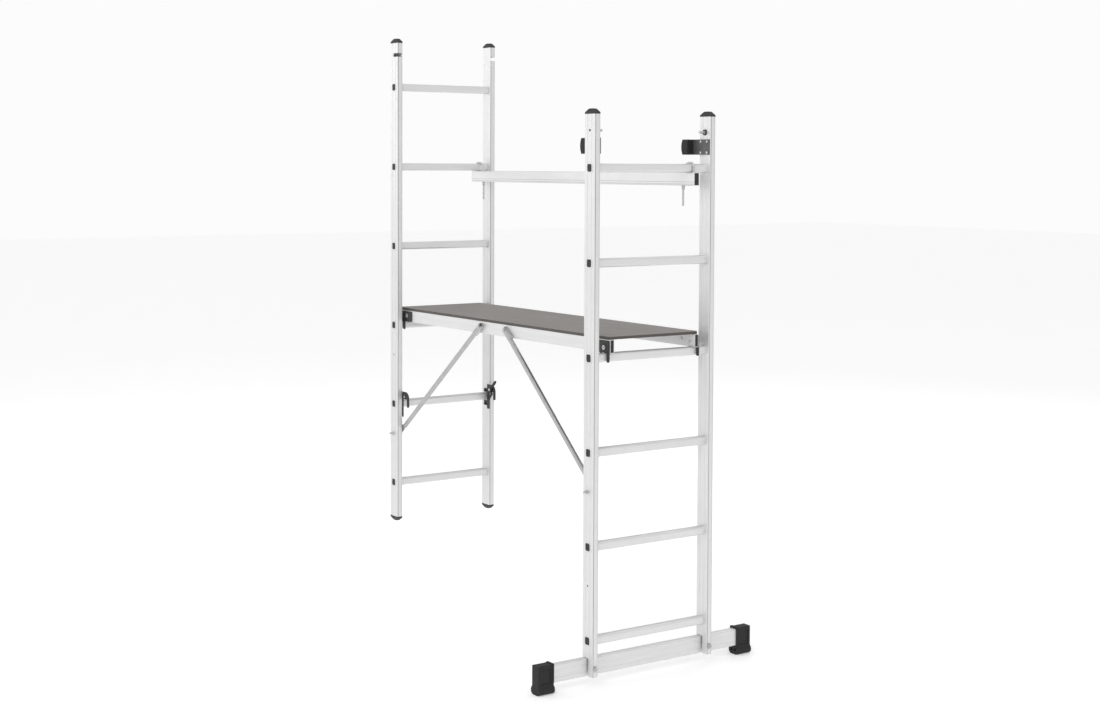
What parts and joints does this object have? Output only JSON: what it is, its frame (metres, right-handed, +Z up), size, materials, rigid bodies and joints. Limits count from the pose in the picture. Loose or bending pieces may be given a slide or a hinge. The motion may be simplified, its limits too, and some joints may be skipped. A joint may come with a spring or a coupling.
{
  "type": "combination ladder scaffold",
  "caption": "Two ladders joined by a hooked-on work platform, with diagonal braces, a guard rail and a stabiliser bar on rubber feet.",
  "frame": {"origin": "on the floor, under the centre of the bounding box", "axes": "+X from the hanging upper ladder to the standing base ladder, +Y from the braced side to the guard rail side, +Z up"},
  "size_m": [1.282, 0.81, 1.986],
  "materials": {
    "aluminium": "mill-finish ribbed extrusion, satin",
    "zinc_steel": "zinc plated steel, satin",
    "black_steel": "black powder coat, semi-matt",
    "black_plastic": "moulded black plastic, fine texture",
    "rubber": "black moulded rubber, matt",
    "board": "dark brown film-faced plywood, fine anti-slip texture"
  },
  "bodies": {
    "frame": {"base_stile_front": "aluminium", "base_stile_rear": "aluminium", "base_rung_1": "aluminium", "base_rung_2": "aluminium", "base_rung_3": "aluminium", "base_rung_4": "aluminium", "base_rung_5": "aluminium", "base_rung_6": "aluminium", "base_rung_plugs": "black_plastic", "top_caps": "black_plastic", "frame_pins": "zinc_steel", "frame_pin_collars": "black_plastic", "guide_bracket_front": "black_steel", "guide_bracket_rear": "black_steel", "guide_bracket_rivets": "zinc_steel", "guide_pads": "black_plastic", "stabiliser_bar": "aluminium", "stabiliser_foot_front": "rubber", "stabiliser_foot_rear": "rubber", "stabiliser_bolts": "zinc_steel", "stabiliser_nuts": "zinc_steel", "upper_stile_front": "aluminium", "upper_stile_rear": "aluminium", "upper_rung_1": "aluminium", "upper_rung_2": "aluminium", "upper_rung_3": "aluminium", "upper_rung_4": "aluminium", "upper_rung_5": "aluminium", "upper_rung_6": "aluminium", "upper_rung_plugs": "black_plastic", "upper_foot_caps": "black_plastic", "rung_hook_front": "black_steel", "rung_hook_rear": "black_steel", "rung_hook_bolts": "black_steel", "latch_pivot": "zinc_steel", "platform_board": "board", "platform_rail_front": "aluminium", "platform_rail_rear": "aluminium", "platform_rail_plugs": "black_plastic", "platform_hooks_left": "black_steel", "platform_hooks_right": "black_steel", "platform_hook_bolts": "zinc_steel", "platform_crossbars": "aluminium", "platform_screws": "zinc_steel", "brace_pivots": "zinc_steel", "brace_bolts": "zinc_steel"},
    "brace_left": {"brace_left_tube": "zinc_steel", "brace_left_clevis": "zinc_steel", "brace_left_tongue": "zinc_steel"},
    "brace_right": {"brace_right_tube": "zinc_steel", "brace_right_clevis": "zinc_steel", "brace_right_tongue": "zinc_steel"},
    "guard_rail": {"guard_rail_tube": "aluminium", "guard_rail_plugs": "black_plastic", "guard_hooks": "zinc_steel"},
    "wing_left": {"wing_nut_left": "zinc_steel"},
    "wing_right": {"wing_nut_right": "zinc_steel"},
    "latch": {"latch_lever": "black_plastic"},
    "nut_left": {"brace_nut_left": "zinc_steel"},
    "nut_right": {"brace_nut_right": "zinc_steel"}
  },
  "joints": [
    {"name": "brace_left_swing", "type": "hinge", "parent": "frame", "child": "brace_left", "pos_m": [-0.076, -0.176, 1.011], "axis": [0, -1, 0], "range_deg": [0, 51]},
    {"name": "brace_right_swing", "type": "hinge", "parent": "frame", "child": "brace_right", "pos_m": [0.076, -0.176, 1.011], "axis": [0, 1, 0], "range_deg": [0, 51]},
    {"name": "guard_rail_slide", "type": "slide", "parent": "frame", "child": "guard_rail", "axis": [0, 1, 0], "range_m": [-0.3, 0.02]},
    {"name": "wing_nut_left_turn", "type": "hinge", "parent": "guard_rail", "child": "wing_left", "pos_m": [-0.576, 0.15, 1.474], "axis": [0, 0, 1], "continuous": true},
    {"name": "wing_nut_right_turn", "type": "hinge", "parent": "guard_rail", "child": "wing_right", "pos_m": [0.576, 0.15, 1.474], "axis": [0, 0, 1], "continuous": true},
    {"name": "latch_turn", "type": "hinge", "parent": "frame", "child": "latch", "pos_m": [-0.568, 0.1765, 0.722], "axis": [0, -1, 0], "range_deg": [0, 60]},
    {"name": "brace_nut_left_turn", "type": "hinge", "parent": "frame", "child": "nut_left", "pos_m": [-0.609, -0.21, 0.59], "axis": [0, 1, 0], "continuous": true},
    {"name": "brace_nut_right_turn", "type": "hinge", "parent": "frame", "child": "nut_right", "pos_m": [0.609, -0.235, 0.58], "axis": [0, 1, 0], "continuous": true}
  ]
}
